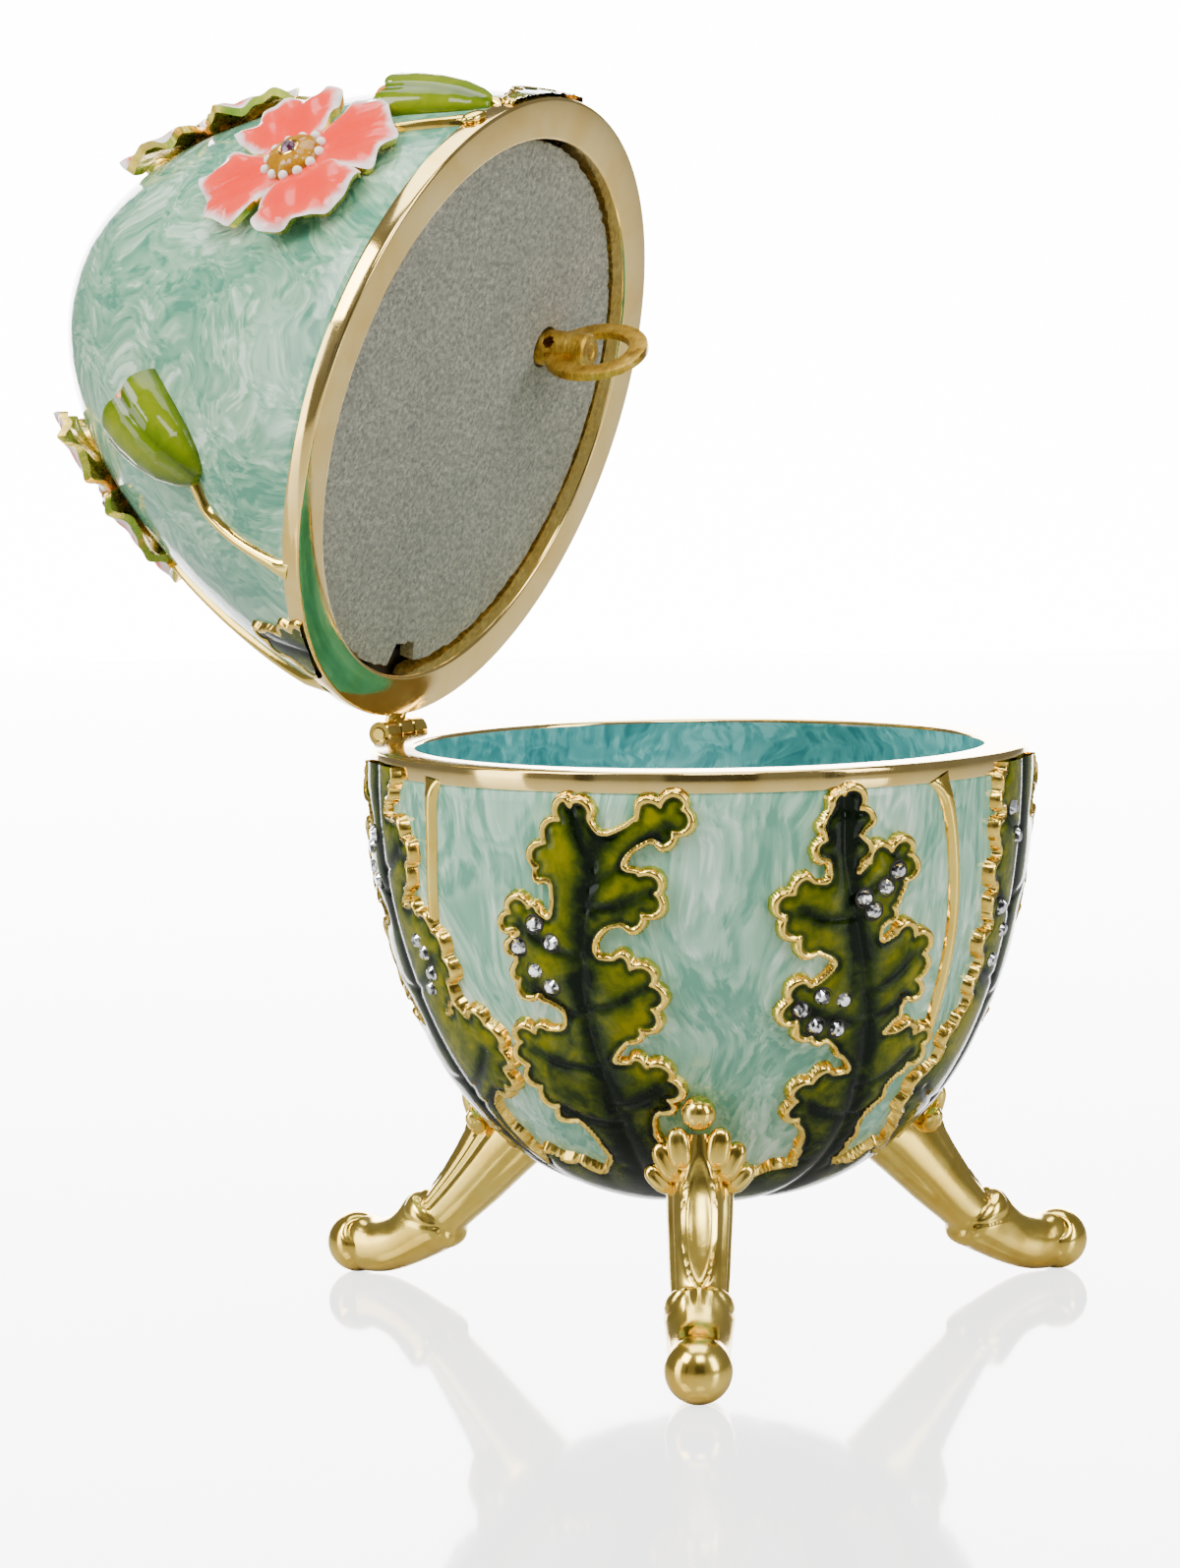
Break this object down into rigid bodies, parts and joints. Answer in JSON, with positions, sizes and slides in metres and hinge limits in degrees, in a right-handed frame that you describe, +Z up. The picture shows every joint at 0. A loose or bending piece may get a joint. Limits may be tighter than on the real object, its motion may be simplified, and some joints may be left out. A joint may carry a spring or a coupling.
{
  "type": "trinket box",
  "caption": "Egg-shaped enamelled metal trinket box on three cabriole legs, with a hinged lid standing open and a winding key inside it.",
  "frame": {"origin": "on the floor, under the middle of the open box's outline", "axes": "+Z up; +X along the lid's hinge; +Y from the bowl towards the hinge"},
  "size_m": [0.0804, 0.1056, 0.1258],
  "materials": {
    "egg_enamel": "gloss enamel over cast metal",
    "polished_gold": "polished gold plate",
    "grey_felt": "felt",
    "key_brass": "brushed",
    "pin_steel": "worn plate",
    "flower_enamel": "gloss enamel over cast metal",
    "clear_crystal": "cut and foiled",
    "pink_crystal": "cut and foiled"
  },
  "bodies": {
    "base": {"bowl": "egg_enamel", "leg_left": "polished_gold", "leg_front": "polished_gold", "leg_right": "polished_gold", "bowl_hinge_leaf": "polished_gold", "hinge_pin": "pin_steel", "left_leaf_stone_1": "clear_crystal", "left_leaf_stone_2": "clear_crystal", "left_leaf_stone_3": "clear_crystal", "left_leaf_stone_4": "clear_crystal", "left_leaf_stone_5": "clear_crystal", "left_leaf_stone_6": "clear_crystal", "left_leaf_stone_7": "clear_crystal", "left_leaf_stone_8": "clear_crystal", "front_left_leaf_stone_1": "clear_crystal", "front_left_leaf_stone_2": "clear_crystal", "front_left_leaf_stone_3": "clear_crystal", "front_left_leaf_stone_4": "clear_crystal", "front_left_leaf_stone_5": "clear_crystal", "front_right_leaf_stone_1": "clear_crystal", "front_right_leaf_stone_2": "clear_crystal", "front_right_leaf_stone_3": "clear_crystal", "front_right_leaf_stone_4": "clear_crystal", "front_right_leaf_stone_5": "clear_crystal", "front_right_leaf_stone_6": "clear_crystal", "front_right_leaf_stone_7": "clear_crystal", "front_right_leaf_stone_8": "clear_crystal", "front_right_leaf_stone_9": "clear_crystal", "right_leaf_stone_1": "clear_crystal", "right_leaf_stone_2": "clear_crystal", "right_leaf_stone_3": "clear_crystal", "right_leaf_stone_4": "clear_crystal", "right_leaf_stone_5": "clear_crystal", "back_right_leaf_stone_1": "clear_crystal", "back_right_leaf_stone_2": "clear_crystal", "back_right_leaf_stone_3": "clear_crystal", "back_right_leaf_stone_4": "clear_crystal", "back_right_leaf_stone_5": "clear_crystal", "back_leaf_stone_1": "clear_crystal", "back_leaf_stone_2": "clear_crystal", "back_leaf_stone_3": "clear_crystal", "back_leaf_stone_4": "clear_crystal", "back_leaf_stone_5": "clear_crystal", "back_left_leaf_stone_1": "clear_crystal", "back_left_leaf_stone_2": "clear_crystal", "back_left_leaf_stone_3": "clear_crystal", "back_left_leaf_stone_4": "clear_crystal", "back_left_leaf_stone_5": "clear_crystal"},
    "lid": {"lid": "egg_enamel", "lid_hinge_knuckle": "polished_gold", "felt_board": "grey_felt", "front_flower": "flower_enamel", "front_flower_stone": "pink_crystal", "top_flower": "flower_enamel", "top_flower_stone": "pink_crystal", "left_flower": "flower_enamel", "left_flower_stone": "pink_crystal", "back_flower": "flower_enamel", "back_flower_stone": "pink_crystal"},
    "key": {"winding_key": "key_brass"}
  },
  "joints": [
    {"name": "lid_hinge", "type": "hinge", "parent": "base", "child": "lid", "pos_m": [0.00186, 0.01654, 0.05815], "axis": [1, 0, 0], "range_deg": [0, 72.6]},
    {"name": "key_turn", "type": "hinge", "parent": "lid", "child": "key", "pos_m": [0.01577, 0.00609, 0.09768], "axis": [0, -0.9956, -0.0941], "continuous": true}
  ]
}
